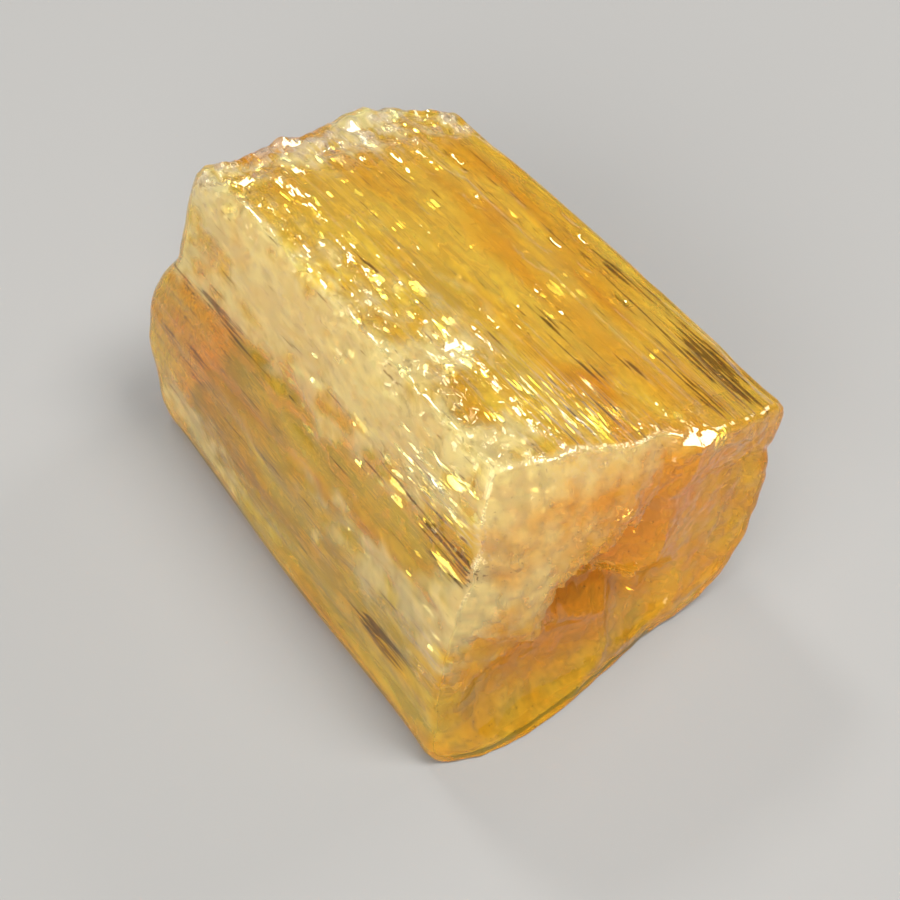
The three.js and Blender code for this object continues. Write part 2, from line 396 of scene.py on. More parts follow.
# %% [markdown]
# ## Round the edges and corners
#
# A bevel would round every edge alike. Smoothing moves each vertex towards the middle of its neighbours, so it
# takes the sharpest places first, as wear does. The vertices near an edge are smoothed a few times, and those
# near a corner many more.

# %% Round the edges and corners
EDGE_SHARE_ACROSS = 0.022
EDGE_SHARE_ALONG = 0.016
EDGE_SHARE_UP = 0.026
EDGE_ROUNDS = 10
CORNER_ROUNDS = 40
SMOOTH_ALL_WAYS = {"factor": 0.5, "use_axis_x": True, "use_axis_y": True, "use_axis_z": True}


def round_edges(made, across, lengthwise, up):
    """Smooths the vertices near the box's edges, and more near its corners."""
    near_sides = np.stack([
        np.minimum(across, 1 - across) < EDGE_SHARE_ACROSS,
        np.minimum(lengthwise, 1 - lengthwise) < EDGE_SHARE_ALONG,
        np.minimum(up, 1 - up) < EDGE_SHARE_UP,
    ]).sum(0)
    for least_sides, rounds in ((2, EDGE_ROUNDS), (3, CORNER_ROUNDS)):
        rounded = [made.verts[at] for at in np.flatnonzero(near_sides >= least_sides)]
        for _ in range(rounds):
            bmesh.ops.smooth_vert(made, verts=rounded, **SMOOTH_ALL_WAYS)


round_edges(crystal_mesh, across, lengthwise, up)
places = np.array([vertex.co[:] for vertex in crystal_mesh.verts]) / MM
print("rounded box, mm:", places.min(0).round(2), places.max(0).round(2))

# %% [markdown]
# ## Flat chips
#
# Where a corner or a rim was knocked, a grain splits off along a cleavage and leaves a tiny flat that flashes
# in the lamp. Each is cut the way a file would cut it: what stands above a plane, within a short reach, is
# moved down on to that plane.

# %% Cut the flat chips
# Each row is the place of the chip, its reach in millimetres and the way that it faces.
FLAT_CHIPS = [
    ((2.45, -9.40, 8.90), 0.50, (-0.10, -0.42, 0.90)), ((2.95, -9.35, 8.85), 0.40, (-0.14, -0.38, 0.91)),
    ((-1.85, -3.10, 10.25), 0.35, (-0.05, -0.49, 0.87)), ((-1.45, -3.45, 10.20), 0.28, (0.0, -0.50, 0.86)),
    ((-2.20, -3.50, 10.30), 0.25, (-0.10, -0.46, 0.88)), ((2.35, 8.90, 8.75), 0.45, (-0.06, -0.56, 0.83)),
    ((1.60, 8.95, 8.95), 0.35, (0.0, -0.56, 0.83)), ((-0.20, 8.60, 9.40), 0.40, (-0.04, -0.56, 0.83)),
    ((-3.05, 6.65, 10.30), 0.40, (-0.02, -0.56, 0.83)), ((-1.15, 6.40, 10.10), 0.35, (-0.04, -0.56, 0.83)),
    ((0.30, 7.40, 9.75), 0.35, (-0.05, -0.56, 0.83)), ((-3.60, 7.30, 10.30), 0.30, (-0.02, -0.56, 0.83)),
]


def cut_flat(places, spot, reach, facing):
    """Moves what stands above a plane, near a spot, on to the plane."""
    facing = np.array(facing) / np.linalg.norm(facing)
    away = places - spot
    height = (away @ facing)[:, None]
    cut = (np.linalg.norm(away, axis=1)[:, None] < reach) & (height > 0)
    return np.where(cut, places - height * facing, places)


for row in FLAT_CHIPS:
    places = cut_flat(places, *row)
put(crystal_mesh, places)
print("flat chips:", len(FLAT_CHIPS))

# %% [markdown]
# ## Put the crystal in the scene
#
# The mesh becomes one piece that rides on the frame's only body and takes the place of its solid. Shading is
# smooth, with sharp lines where two facets meet at more than 28 degrees.

# %% Make the piece
SHARP_ANGLE = math.radians(28)


def mesh_piece(name, made, material):
    """Makes a piece from a bmesh, riding on the one body."""
    data = bpy.data.meshes.new(name)
    made.to_mesh(data)
    made.free()
    if material:
        data.materials.append(material)
    piece = bpy.data.objects.new(name, data)
    bpy.context.scene.collection.objects.link(piece)
    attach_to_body(piece, "root")
    return piece


crystal = mesh_piece("topaz_crystal_body", crystal_mesh, None)
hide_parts("topaz_crystal")
crystal.data.shade_smooth()
crystal.data.set_sharp_from_angle(angle=SHARP_ANGLE)
print("crystal box, mm:", places.min(0).round(2), places.max(0).round(2))

# %% [markdown]
# ## Where the stone is milky, deep or dark
#
# Milky veils lie under the upper left ridge, and the hollows of the break look down a long way into the
# stone and show its deepest orange. The dark streaks are painted shade: the shade in shadowed grooves and the
# dark reflections along the striations. Weaker patches of painted shade darken the far part of the left side,
# where the light falls off, and the right of the upper face. A texture can't know where those are, so each is
# a soft-edged patch. The patches are summed, broken up by noise and stored as attributes of the mesh, which
# cost the render nothing, and the material adds only the finest lines.

# %% Patches and noise to paint with
def patches(places, rows):
    """Sums soft patches: middle x, y, z, reach x, y, z, strength."""
    total = np.zeros(len(places))
    for *spot, strength in rows:
        away = ((places - spot[:3]) / spot[3:]) ** 2
        total += strength * np.exp(-away.sum(1))
    return total


def paint(piece, name, values):
    """Stores one number for each vertex."""
    attribute = piece.data.attributes.new(name, "FLOAT", "POINT")
    attribute.data.foreach_set("value", np.clip(values, 0, 1).astype(np.float32))
    print(name, "mean:", round(float(np.clip(values, 0, 1).mean()), 3))


def place_noise(places, size, stretch, seed):
    """Noise over a mesh, stretched along the prism, from about -1 to 1."""
    scaled = places / (size, size * stretch, size)
    broad = noise_at(scaled[:, 0] + seed, scaled[:, 1], scaled[:, 2])
    finer = noise_at(scaled[:, 0] * 2.3, scaled[:, 1] * 2.3 + seed, scaled[:, 2] * 2.3)
    return 1.1 * broad + 0.6 * finer


# Each row is the middle x, y, z, the reach in x, y, z, and the strength.
MILKY_SPOTS = [
    (-4.3, 4, 10.3, 1.2, 6, 1.5, 0.8), (-4.3, -3, 10.2, 1.3, 5, 1.6, 0.9), (-3.2, -7.5, 10.4, 2, 2, 1.2, 0.6),
    (-5.5, -8.6, 6.0, 1, 1.3, 2.2, 0.9), (-5.9, -5.0, 4.7, 1, 3.2, 1.4, 0.9), (-5, 8, 7.5, 2, 1.5, 2, 0.4),
    # The first spot on the next row, low on the far left side, is the pale strip along the lower left rim,
    # partly a pale rim and partly a painted highlight.
    (-6.2, 5.5, 1.5, 1, 5, 1.0, 0.9), (-0.5, 6.5, 10, 3.5, 0.8, 1, 0.7), (-0.4, 8.3, 9.7, 1.0, 0.7, 1, 1.0),
    (2.5, 9.1, 8.8, 1.6, 0.9, 1, 1.0), (1.5, 8.0, 9.3, 3.0, 1.0, 1, 0.5),
    (-4.9, -5.5, 8.8, 1, 3, 0.9, 0.5), (-4.9, 2.5, 8.8, 1, 6, 1.1, 0.8), (-5.2, 5.5, 7.4, 1, 3.5, 0.8, 0.5),
    (-5.3, -1.5, 7.5, 1, 5.5, 1.0, 0.5), (-2.1, -3.4, 10.4, 1.0, 1.2, 0.8, 0.8),
    (-1.0, -1, 10.1, 1.5, 4, 1, 0.35),
]


def milkiness(places, zones):
    """How milky each place is, with painted highlights on the lower left rim and the ledge's lip."""
    grainy = place_noise(places, 0.35, 1.5, 17)
    frosty = zones["broken"] * zones["shelf"] * (0.38 + 0.5 * zones["fade"] + 0.14 * grainy)
    spots = patches(places, MILKY_SPOTS)
    near_spot = spots > 0.1
    cloudy = 0.55 * place_noise(places, 0.9, 1.6, 11) * near_spot + 0.2 * place_noise(places, 0.6, 7, 23)
    cloudy = cloudy + 0.3 * place_noise(places, 0.4, 1.5, 19) * near_spot
    lumpy = ramp(-0.35, 0.55, place_noise(places, 0.75, 1.2, 63) + 0.3 * grainy)
    crumbly = 1.1 * lumpy * zones["worn_top"] + 0.5 * zones["worn_face"]
    # The lip of the ledge on the break is painted pale: a painted highlight along the crack's bright edge.
    crumbly = crumbly + 0.9 * zones["broken"] * zones["lip"]
    return ramp(0.25, 0.95, spots + cloudy + frosty + crumbly)


# %% Paint where it is milky
small_cloud = place_noise(places, 0.35, 1.5, 17)
cloud = place_noise(places, 0.9, 1.8, 11)
paint(crystal, "milk", milkiness(places, zones))

# %% Paint where it is deep orange
EMBER_SPOTS = [
    (-0.4, -8.6, 5.2, 2.4, 1.5, 2.6, 1.1), (-2.2, -8.8, 2.6, 2.4, 1.5, 1.6, 0.8),
    (2.6, -9, 7.2, 2.2, 1.5, 1.6, 0.8), (1.0, -6.3, 9.6, 1.5, 1.6, 1, 0.6),
    (-1.5, -8.9, 8.6, 3.5, 1.0, 1.3, 0.45), (-4.2, -8.9, 7.2, 1.6, 1.0, 2.2, 0.35),
    (-1.6, 8.5, 9.8, 1.3, 0.9, 0.9, 1.4), (0.8, 8.9, 9.2, 1.6, 0.6, 0.9, 0.7),
    (3.9, 2.5, 8.9, 1.5, 3, 0.8, 0.4), (-4.2, 4.9, 9.4, 1, 1, 1, 0.4),
]
ember = ramp(0.2, 0.85, patches(places, EMBER_SPOTS) + 0.25 * cloud)
paint(crystal, "ember", np.maximum(ember, 0.6 * ramp(0.04, 0, up)))

# %% Paint the dark streaks and patches of painted shade
# Painted shade: the narrow spots are dark streaks for shadowed grooves and dark reflections in the striations,
# and the broad, weak ones darken the far left side and the right of the upper face.
SHADE_SPOTS = [
    (-5.1, -7.3, 7.6, 0.8, 1.9, 0.6, 1.0), (-6.4, -5.9, 2.7, 0.6, 1.3, 0.4, 1.5),
    (5.4, -7.0, 8.3, 0.6, 1.6, 1, 1.5), (4.0, -7.9, 8.7, 0.4, 1.1, 1, 1.4),
    (-5.3, 4.5, 6.9, 0.6, 2.2, 0.35, 0.9), (4.5, 3.5, 8.6, 0.9, 2.2, 0.8, 0.5),
    (5.6, -1.5, 8.3, 0.4, 1.6, 0.8, 0.8), (1.6, -3.4, 9.5, 0.3, 0.9, 0.8, 0.7),
    (5.2, -4, 8.4, 1.3, 4, 1, 0.3), (1.5, -6.2, 9.7, 1.6, 2.2, 0.8, 0.35),
    (-6, 6.0, 4.5, 1.2, 3.5, 2.5, 0.4), (-1.9, 1.4, 10.2, 0.3, 1, 0.8, 0.5),
]
paint(crystal, "shade", patches(places, SHADE_SPOTS))

# %% Paint where crushed grains flash
GLITTER_SPOTS = [
    (-3.6, 3, 10.4, 1.5, 8, 1.2, 0.8), (-3.6, -5, 10.4, 1.6, 5, 1.2, 1.1), (-5.0, -5.0, 8.2, 1, 5, 1.6, 0.9),
    (-2.1, -3.4, 10.4, 1.2, 1.4, 0.8, 0.7), (-5.9, -5.5, 4.6, 1, 3, 1.0, 0.3),
    (-4.6, 7.8, 9.4, 1.4, 2, 1.6, 0.4), (0, -8.4, 9.6, 4, 0.9, 1, 0.6),
]
glitter = 0.12 + patches(places, GLITTER_SPOTS)
scarp = 4 * zones["shelf"] * (1 - zones["shelf"])
on_break = zones["broken"] * (0.02 + 0.3 * zones["shelf"] + 0.7 * scarp + 0.5 * zones["lip"])
# The flat chips stay smooth, so that each flashes as one.
on_chip = patches(places, [(*spot, reach, reach, reach, 2.0) for spot, reach, _ in FLAT_CHIPS])
on_chip = np.clip(on_chip, 0, 1)
glitter = glitter * (1 - zones["broken"]) + on_break + 0.9 * zones["worn_top"]
paint(crystal, "glitter", glitter * ramp(-0.3, 0.6, small_cloud + 0.4 * cloud) * (1 - on_chip))

# %% Paint where the growth lines are strong
# Where the growth lines are strong, pale lines are painted on them as highlights, as well as bumped.
STRIAE_SPOTS = [
    (-0.3, -7.0, 10.0, 1.8, 2.2, 1, 1.0), (-4.9, -6.9, 8.3, 1, 2.4, 1.0, 1.0), (4.3, -7.6, 8.6, 2, 1.8, 1, 0.6),
    (-6.2, -8.0, 4.0, 0.7, 1.5, 0.8, 0.8), (-2.1, -1, 10.3, 2, 7, 1, 0.35), (0.5, 8, 9.5, 3.5, 1.6, 1.2, 1.2),
]
paint(crystal, "striae", patches(places, STRIAE_SPOTS))
grain = 0.45 + 0.55 * ramp(-0.4, 0.6, place_noise(places, 1.6, 3, 71))
grain = grain * (1 - zones["broken"]) + zones["broken"] * (0.08 + 0.8 * zones["shelf"])
paint(crystal, "grain", grain * (1 - on_chip))

# %% Paint the frost, the white crust and the tone
worn_frost = (0.4 * zones["worn_top"] + 0.8 * zones["worn_face"]) * ramp(-0.8, 0.5, small_cloud)
paint(crystal, "frost", 1.2 * zones["broken"] * zones["shelf"] + worn_frost)
paint(crystal, "white", 0.8 * zones["worn_top"] * ramp(-0.2, 0.6, small_cloud + 0.5 * cloud))
# Where the tone is lowered towards honey, on the far left side and the right of the upper face, it is painted
# shade.
PAINTED_SHADE_TONE_SPOTS = [(-5.9, 5.5, 4.5, 1.5, 4.0, 3.5, 0.9), (5, -4, 8.5, 1.5, 5, 1, 0.3)]
tone = 0.5 + 0.3 * ramp(0.95, 1, up) + 0.35 * ramp(0.05, 0, across) + 0.75 * place_noise(places, 1.1, 4, 29)
tone = tone * (1 - 0.5 * zones["broken"])
paint(crystal, "tone", tone - patches(places, PAINTED_SHADE_TONE_SPOTS))

# %% [markdown]
# ## The material
#
# Topaz is clear, with a refractive index of 1.62, and its colour is in its body, so light that goes through
# more of it comes out deeper. Plain transmission and volume absorption give that. The whole outside has one
# material, because the body colour is lost where light goes in through one material and out through another.
# Its nodes change how pale, how rough and how smooth the surface is, and they paint shade into the dark streaks
# and pale highlights along the strong growth lines. The steps between the finest growth lines are a bump, and
# small cells that tip the surface at random are the crushed grains that flash.

# %% Node helpers
def attach(tree, value, socket):
    """Links a socket to an input, or sets the input to a plain value."""
    if isinstance(value, (int, float, tuple)):
        socket.default_value = value
    else:
        tree.links.new(value, socket)


def math_node(tree, operation, first, second):
    """Adds a Math node. Each input is a socket or a number."""
    made = tree.nodes.new("ShaderNodeMath")
    made.operation = operation
    attach(tree, first, made.inputs[0])
    attach(tree, second, made.inputs[1])
    return made.outputs[0]


def spread(tree, value, low, high, to_low=0.0, to_high=1.0):
    """Maps a range of a socket to another range, with soft ends."""
    made = tree.nodes.new("ShaderNodeMapRange")
    made.interpolation_type = "SMOOTHSTEP"
    for name, number in (
        ("Value", value), ("From Min", low), ("From Max", high), ("To Min", to_low), ("To Max", to_high),
    ):
        attach(tree, number, made.inputs[name])
    return made.outputs[0]


def mix_colour(tree, share, first, second):
    """Mixes two colours, each a socket or plain."""
    made = tree.nodes.new("ShaderNodeMix")
    made.data_type = "RGBA"
    for at, value in ((0, share), (6, first), (7, second)):
        attach(tree, value, made.inputs[at])
    return made.outputs[2]


def painted(tree, name):
    """Reads a painted attribute."""
    made = tree.nodes.new("ShaderNodeAttribute")
    made.attribute_name = name
    return made.outputs["Fac"]


def stretched_place(tree, size, stretch):
    """The place in the crystal, in cells of a size in millimetres, longer along the prism."""
    coordinates = tree.nodes.new("ShaderNodeTexCoord")
    mapping = tree.nodes.new("ShaderNodeMapping")
    mapping.inputs["Scale"].default_value = (1 / (size * MM), 1 / (size * stretch * MM), 1 / (size * MM))
    tree.links.new(coordinates.outputs["Object"], mapping.inputs["Vector"])
    return mapping.outputs["Vector"]


def stretched_noise(tree, size, stretch, detail):
    """Noise with blobs of a size in millimetres, longer along the prism."""
    made = tree.nodes.new("ShaderNodeTexNoise")
    made.inputs["Scale"].default_value = 1.0
    made.inputs["Detail"].default_value = detail
    tree.links.new(stretched_place(tree, size, stretch), made.inputs["Vector"])
    return made.outputs["Fac"]


def vector_math(tree, operation, first, second):
    """Adds a Vector Math node. Each input is a socket or plain."""
    made = tree.nodes.new("ShaderNodeVectorMath")
    made.operation = operation
    attach(tree, first, made.inputs[0])
    if second is not None:
        attach(tree, second, made.inputs["Scale" if operation == "SCALE" else 1])
    return made.outputs[0]


def facet_normal(tree, size, stretch, tilt):
    """Tips the surface by a random amount in each small cell, so that some cells flash."""
    cells = tree.nodes.new("ShaderNodeTexVoronoi")
    cells.inputs["Scale"].default_value = 1.0
    tree.links.new(stretched_place(tree, size, stretch), cells.inputs["Vector"])
    tip = vector_math(tree, "SUBTRACT", cells.outputs["Color"], (0.5, 0.5, 0.5))
    facing = tree.nodes.new("ShaderNodeNewGeometry")
    tipped = vector_math(tree, "ADD", vector_math(tree, "SCALE", tip, tilt), facing.outputs["Normal"])
    return vector_math(tree, "NORMALIZE", tipped, None)


# %% Topaz
REFRACTIVE_INDEX = 1.62
CLEAR_SHARE = 0.85
BODY_COLOUR = (0.995, 0.54, 0.02, 1)
BODY_DENSITY = 100
HONEY = (0.92, 0.50, 0.03, 1)
GOLD = (1.0, 0.80, 0.12, 1)
MILK = (1.0, 0.92, 0.42, 1)
EMBER = (0.92, 0.46, 0.04, 1)
# Pale lines along the strong growth lines are painted highlights; the same colour is the worn crust's own
# white.
HIGHLIGHT_AND_CRUST_WHITE = (1.0, 0.97, 0.85, 1)
# Dark painted shade for the streaks and the shade patches.
SHADE = (0.12, 0.07, 0.02, 1)
WARM_GLEAM = (1.0, 0.89, 0.62, 1)
HAIRLINE = 0.09
HAIRLINE_STRETCH = 25
HAIRLINE_DETAIL = 1
CRUSHED_GRAIN = 0.16
CRUSHED_STRETCH = 1.6
POLISHED = 0.03
FROSTED = 0.15
BUMP_STRENGTH = 0.35
BUMP_HEIGHT = 0.05


def topaz_material():
    """Clear golden topaz: milky veils, a frosted shelf, painted shade and painted highlights."""
    material = bpy.data.materials.new("topaz")
    material.use_nodes = True
    tree = material.node_tree
    shader = tree.nodes["Principled BSDF"]
    hair = stretched_noise(tree, HAIRLINE, HAIRLINE_STRETCH, HAIRLINE_DETAIL)

    clear = mix_colour(tree, painted(tree, "tone"), HONEY, GOLD)
    milky = painted(tree, "milk")
    veined = mix_colour(tree, milky, clear, MILK)
    deep = mix_colour(tree, painted(tree, "ember"), veined, EMBER)
    # Painted highlights: pale lines where the growth lines are strong, with the real white of the worn crust.
    highlight_lines = math_node(tree, "MULTIPLY", painted(tree, "striae"), spread(tree, hair, 0.56, 0.64))
    white = math_node(tree, "MAXIMUM", highlight_lines, painted(tree, "white"))
    deep = mix_colour(tree, white, deep, HIGHLIGHT_AND_CRUST_WHITE)
    # Painted shade: dark lines and patches where the shade attribute is strong.
    lines = math_node(tree, "MULTIPLY", math_node(tree, "SUBTRACT", hair, 0.5), 3.5)
    shaded = spread(tree, math_node(tree, "ADD", painted(tree, "shade"), lines), 0.65, 0.95, 0.0, 0.9)
    tree.links.new(mix_colour(tree, shaded, deep, SHADE), shader.inputs["Base Color"])

    dull = math_node(tree, "MAXIMUM", painted(tree, "frost"), milky)
    rough = spread(tree, dull, 0, 1, POLISHED, FROSTED)
    tree.links.new(rough, shader.inputs["Roughness"])
    shader.inputs["Transmission Weight"].default_value = CLEAR_SHARE
    shader.inputs["IOR"].default_value = REFRACTIVE_INDEX
    shader.inputs["Specular Tint"].default_value = WARM_GLEAM

    bump = tree.nodes.new("ShaderNodeBump")
    tree.links.new(math_node(tree, "MULTIPLY", painted(tree, "grain"), BUMP_STRENGTH), bump.inputs["Strength"])
    bump.inputs["Distance"].default_value = BUMP_HEIGHT * MM
    hair_share = math_node(tree, "ADD", math_node(tree, "MULTIPLY", painted(tree, "striae"), 2.5), 0.5)
    tree.links.new(math_node(tree, "MULTIPLY", hair, hair_share), bump.inputs["Height"])
    crushed = facet_normal(tree, CRUSHED_GRAIN, CRUSHED_STRETCH, painted(tree, "glitter"))
    tree.links.new(crushed, bump.inputs["Normal"])
    tree.links.new(bump.outputs["Normal"], shader.inputs["Normal"])

    absorption = tree.nodes.new("ShaderNodeVolumeAbsorption")
    absorption.inputs["Color"].default_value = BODY_COLOUR
    absorption.inputs["Density"].default_value = BODY_DENSITY
    tree.links.new(absorption.outputs[0], tree.nodes["Material Output"].inputs["Volume"])
    return material


crystal.data.materials.append(topaz_material())
print("one material on the outside:", [slot.name for slot in crystal.data.materials])

# %% [markdown]
# ## Cracks inside
#
# The glints inside a found topaz are small air-filled cracks. Light can't leave topaz into such a gap at a low
# angle, so a crack mirrors like silver. Modelled as gaps they would need many bounces of light, so each is
# a thin plate of mirror instead, from `create_cone` with both ends almost the same. Topaz splits most easily
# straight across the prism, so many plates stand that way, others lie along the growth layers, and most crowd
# under the milky ridge. Just under the upper faces some are long and fine as hairs. The places are drawn as
# shares of the prism and bent as it is, and a corner that would come too near the surface is moved back inside.

# %% Where the cracks lie
# Each row is a range of the share across, up and along, which way the plates face, how long they are and how
# many there are.
CRACK_ZONES = [
    ((0.02, 0.28), (0.84, 0.985), (0.03, 0.95), (0, -0.25, 0.97), (1.2, 4), 130),
    ((0.30, 0.95), (0.60, 0.97), (0.03, 0.95), (0, -0.25, 0.97), (1.2, 4), 60),
    ((0.05, 0.90), (0.972, 0.988), (0.86, 0.97), (0.03, -0.16, 0.99), (1, 3), 60),
    ((0.015, 0.10), (0.35, 0.84), (0.03, 0.60), (-0.86, -0.24, 0.45), (1.2, 5), 60),
    ((0.10, 0.75), (0.10, 0.80), (0.03, 0.12), (-0.08, -0.58, 0.80), (1, 2), 80),
    ((0.02, 0.95), (0.20, 0.96), (0.03, 0.95), (0, -1, 0.1), (1, 2), 80),
    ((0.67, 0.72), (0.90, 0.97), (0.006, 0.014), (-0.01, -0.59, 0.81), (1, 2), 12),
    ((0.67, 0.72), (0.90, 0.97), (0.006, 0.014), (-0.06, -0.85, 0.52), (1, 2), 12),
    ((0.14, 0.22), (0.95, 0.985), (0.26, 0.36), (0, -0.25, 0.97), (1.2, 3), 25),
    ((0.24, 0.46), (0.98, 0.988), (0.05, 0.20), (0, -0.25, 0.97), (9, 20), 60),
    ((0.012, 0.03), (0.70, 0.88), (0.05, 0.25), (-0.86, -0.24, 0.45), (9, 20), 60),
]

print("crack plates:", sum(row[-1] for row in CRACK_ZONES))

# %% Keep things inside the crystal
surface = BVHTree.FromPolygons(
    [vertex.co[:] for vertex in crystal.data.vertices], [face.vertices[:] for face in crystal.data.polygons],
)


def keep_inside(made, clearance):
    """Moves vertices that lie outside the crystal, or too near its surface, back inside."""
    moved = 0
    for vertex in made.verts:
        nearest, outward, _, _ = surface.find_nearest(vertex.co)
        if (vertex.co - nearest).dot(outward) > -clearance * MM:
            vertex.co = nearest - outward * clearance * MM
            moved += 1
    print("moved back inside:", moved)


def inside_places(shares):
    """Points inside the crystal, from rows of shares across, up and along it."""
    share_across, share_up, share_along = np.array(shares).T
    return bend(share_across, share_along, share_up)[0]


# %% Crack plates
CRACK_THICKNESS = 0.012
CRACK_REACH = (0.03, 0.09)
CRACK_SPREAD = 0.12
CRACK_CLEARANCE = 0.05
LONG_CRACK = 5


def turn_to(facing):
    """A turn that faces Z one way and keeps X as nearly along the prism as it can."""
    facing = facing.normalized()
    long_way = facing.cross(Vector((0, 1, 0))).cross(facing).normalized()
    return Matrix((long_way, facing.cross(long_way), facing)).transposed().to_4x4()


def crack_plates():
    """Thin mirror plates. The long ones lie along the prism, where a film of the stone has lifted."""
    draw = random.Random(7)
    plates = bmesh.new()
    for zone_across, zone_up, zone_along, facing, lengths, count in CRACK_ZONES:
        shares = [[draw.uniform(*zone) for zone in (zone_across, zone_up, zone_along)] for _ in range(count)]
        for place in inside_places(shares):
            longer = draw.uniform(*lengths)
            reach = draw.uniform(*CRACK_REACH) * (1 + 1.6 * draw.random() ** 8) / max(1, longer / LONG_CRACK)
            turn = turn_to(Vector(facing) + Vector([draw.gauss(0, CRACK_SPREAD) for _ in range(3)]))
            bmesh.ops.create_cone(
                plates, cap_ends=True, segments=draw.choice((4, 5, 6)), radius1=reach * MM,
                radius2=reach * 0.9 * MM, depth=CRACK_THICKNESS * MM,
                matrix=Matrix.Translation(Vector(place) * MM) @ turn @ Matrix.Diagonal((longer, 1, 1, 1)),
            )
    keep_inside(plates, CRACK_CLEARANCE)
    return plates


# %% Mirror for the cracks
MIRROR_COLOUR = (1, 0.95, 0.8, 1)
MIRROR_ROUGHNESS = 0.2

crack_mirror = bpy.data.materials.new("crack_mirror")
crack_mirror.use_nodes = True
mirror_shader = crack_mirror.node_tree.nodes["Principled BSDF"]
mirror_shader.inputs["Base Color"].default_value = MIRROR_COLOUR
mirror_shader.inputs["Metallic"].default_value = 1
mirror_shader.inputs["Roughness"].default_value = MIRROR_ROUGHNESS
cracks = mesh_piece("inner_cracks", crack_plates(), crack_mirror)
print("crack triangles:", sum(len(face.vertices) - 2 for face in cracks.data.polygons))

# %% [markdown]
# ## Milky skin and veils
#
# The outer layer of a found topaz is full of films of tiny bubbles, and cloudy growth layers hang deeper in the
# stone like sheets of smoke. They catch the light that comes in from above, so the stone glows where clear
# glass would only show the floor. The skin is a coarser copy of the crystal's own shape, moved in by a third of
# a millimetre, because a film that follows every hollow looks as if it were part of the surface. The deeper
# sheets are grids bent between four points. Their material is see-through where the painted cover is thin, and
# where it is cloudy it lets half of the light through and throws the other half back.

# %% Veil material
FILM_GOLD = (1.0, 0.90, 0.27, 1)
FILM_WHITE = (1.0, 0.95, 0.80, 1)
FILM_AMBER = (1.0, 0.68, 0.14, 1)
THROUGH_SHARE = 0.5


def film_material():
    """Cloudy film: some light goes past it, and half of the rest goes through it and half comes back."""
    material = bpy.data.materials.new("cloudy_film")
    material.use_nodes = True
    tree = material.node_tree
    tree.nodes.remove(tree.nodes["Principled BSDF"])
    back = tree.nodes.new("ShaderNodeBsdfDiffuse")
    through = tree.nodes.new("ShaderNodeBsdfTranslucent")
    clear = tree.nodes.new("ShaderNodeBsdfTransparent")
    cloud = tree.nodes.new("ShaderNodeMixShader")
    sheet = tree.nodes.new("ShaderNodeMixShader")
    pale = mix_colour(tree, painted(tree, "milk"), FILM_GOLD, FILM_WHITE)
    colour = mix_colour(tree, painted(tree, "deep"), pale, FILM_AMBER)
    tree.links.new(colour, back.inputs["Color"])
    tree.links.new(colour, through.inputs["Color"])
    cloud.inputs["Fac"].default_value = THROUGH_SHARE
    tree.links.new(painted(tree, "cover"), sheet.inputs["Fac"])
    for mixer, first, second in ((cloud, back, through), (sheet, clear, cloud)):
        tree.links.new(first.outputs[0], mixer.inputs[1])
        tree.links.new(second.outputs[0], mixer.inputs[2])
    tree.links.new(sheet.outputs[0], tree.nodes["Material Output"].inputs["Surface"])
    return material


# %% Milky skin
SKIN_CUTS = {"across": 95, "along": 79, "up": 69}
SKIN_DEPTH = 0.3
SKIN_ROUNDS = 3

skin_mesh, *skin_shares = box_of_strips(SKIN_CUTS["across"], SKIN_CUTS["along"], SKIN_CUTS["up"])
skin_places, skin_zones = bend(*skin_shares)
put(skin_mesh, skin_places)
for _ in range(SKIN_ROUNDS):
    bmesh.ops.smooth_vert(skin_mesh, verts=skin_mesh.verts, **SMOOTH_ALL_WAYS)
skin_mesh.normal_update()
for vertex in skin_mesh.verts:
    vertex.co -= vertex.normal * SKIN_DEPTH * MM
keep_inside(skin_mesh, SKIN_DEPTH / 2)
film = film_material()
skin = mesh_piece("milky_skin", skin_mesh, film)
skin.data.shade_smooth()

print("skin faces:", len(skin.data.polygons))

# %% Paint the skin
# How cloudy the skin is under each side and end, from 0 for clear to 1.
UPPER_COVER = 0.6
LEFT_COVER = 0.6
RIGHT_COVER = 0.6
UNDERSIDE_COVER = 0.9
WORN_COVER = 0.7
BREAK_COVER = 0.45
SHELF_COVER = 0.22
LOW_COVER = 0.4
PAINTED_RIM_GLOW = 0.35
BREAK_DEPTH = 0.35
SIDE_EDGE = 0.04
CLOUD_SIZE = 0.45
CLOUD_STRETCH = 2.5
# Each row is a middle, three reaches and a strength, as for the other painted patches.
HOLLOW_GLOWS = [(-0.4, -8.6, 5.2, 2.4, 2, 2.6, 1.0), (-2.2, -8.8, 2.6, 2.4, 2, 1.6, 0.8)]


def uneven(places, cover, size, stretch):
    """Breaks a cover up into clouds, and leaves it closed where it is nearly whole."""
    clouds = 0.3 + 0.7 * ramp(-0.5, 0.6, place_noise(places, size, stretch, 57))
    return np.maximum(cover * clouds, 1.2 * cover - 0.6)


skin_across, skin_along, skin_up = skin_shares
skin_bands = 0.5 + 1.1 * place_noise(skin_places, 1.1, 4, 37)
side_cover = UPPER_COVER * skin_bands * ramp(1 - SIDE_EDGE, 1.0, skin_up)
side_cover = side_cover + LEFT_COVER * skin_bands * ramp(SIDE_EDGE, 0, skin_across) * (1.5 - 1.1 * skin_along)
side_cover = side_cover + UNDERSIDE_COVER * ramp(SIDE_EDGE, 0, skin_up)
side_cover = side_cover + RIGHT_COVER * ramp(1 - SIDE_EDGE, 1.0, skin_across)
side_cover = side_cover + WORN_COVER * skin_zones["worn_face"]
skin_broken = skin_zones["broken"]
break_cover = BREAK_COVER + SHELF_COVER * skin_zones["shelf"] * skin_zones["fade"]
